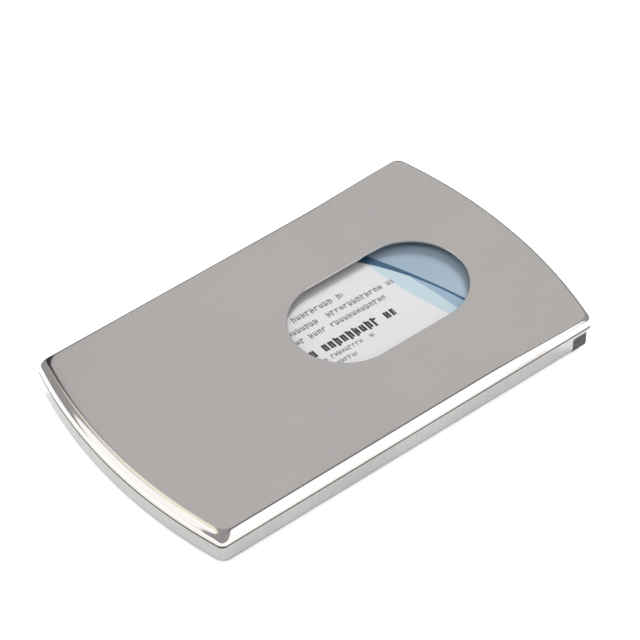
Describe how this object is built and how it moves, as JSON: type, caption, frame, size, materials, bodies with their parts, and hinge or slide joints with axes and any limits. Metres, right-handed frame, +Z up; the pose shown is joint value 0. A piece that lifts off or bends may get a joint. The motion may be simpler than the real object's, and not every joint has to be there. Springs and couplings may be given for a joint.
{
  "type": "business card case",
  "caption": "Slim polished steel card case with bowed ends and a stadium thumb window in the lid; a sprung plate lifts the stack and the top card slides out of the open end.",
  "frame": {"origin": "middle of the underside", "axes": "+X along the length, out of the open end; +Y across the width; +Z up through the lid"},
  "size_m": [0.1, 0.0604, 0.0082],
  "materials": {
    "lid_steel": "fine satin, bright rolled edge",
    "tray_steel": "satin, faint streaks across the side",
    "black_plastic": "moulded, fine grain",
    "plate_plastic": "moulded, smooth",
    "spring_steel": "rolled strip",
    "rivet_brass": "satin",
    "bond_film": "translucent film",
    "printed_card": null,
    "plain_card": "coated"
  },
  "bodies": {
    "case": {"top_shell": "lid_steel", "bottom_shell": "tray_steel", "inner_frame": "black_plastic", "lid_bond_film": "bond_film", "tray_bond_film": "bond_film", "front_leaf_spring": "spring_steel", "rear_leaf_spring": "spring_steel", "spring_rivets": "rivet_brass"},
    "card_lift": {"pressure_plate": "plate_plastic", "card_2": "plain_card", "card_3": "plain_card", "card_4": "plain_card", "card_5": "plain_card", "card_6": "plain_card", "card_7": "plain_card", "card_8": "plain_card", "card_9": "plain_card"},
    "thumb_card": {"top_card": "printed_card"}
  },
  "joints": [
    {"name": "plate_lift", "type": "slide", "parent": "case", "child": "card_lift", "axis": [0, 0, 1], "range_m": [-0.0015, 0], "stiffness_N_per_m": 400, "springref_m": 0.0025, "deforming": ["front_leaf_spring", "rear_leaf_spring"]},
    {"name": "top_card_slide", "type": "slide", "parent": "case", "child": "thumb_card", "axis": [1, 0, 0], "range_m": [0, 0.0955]}
  ]
}
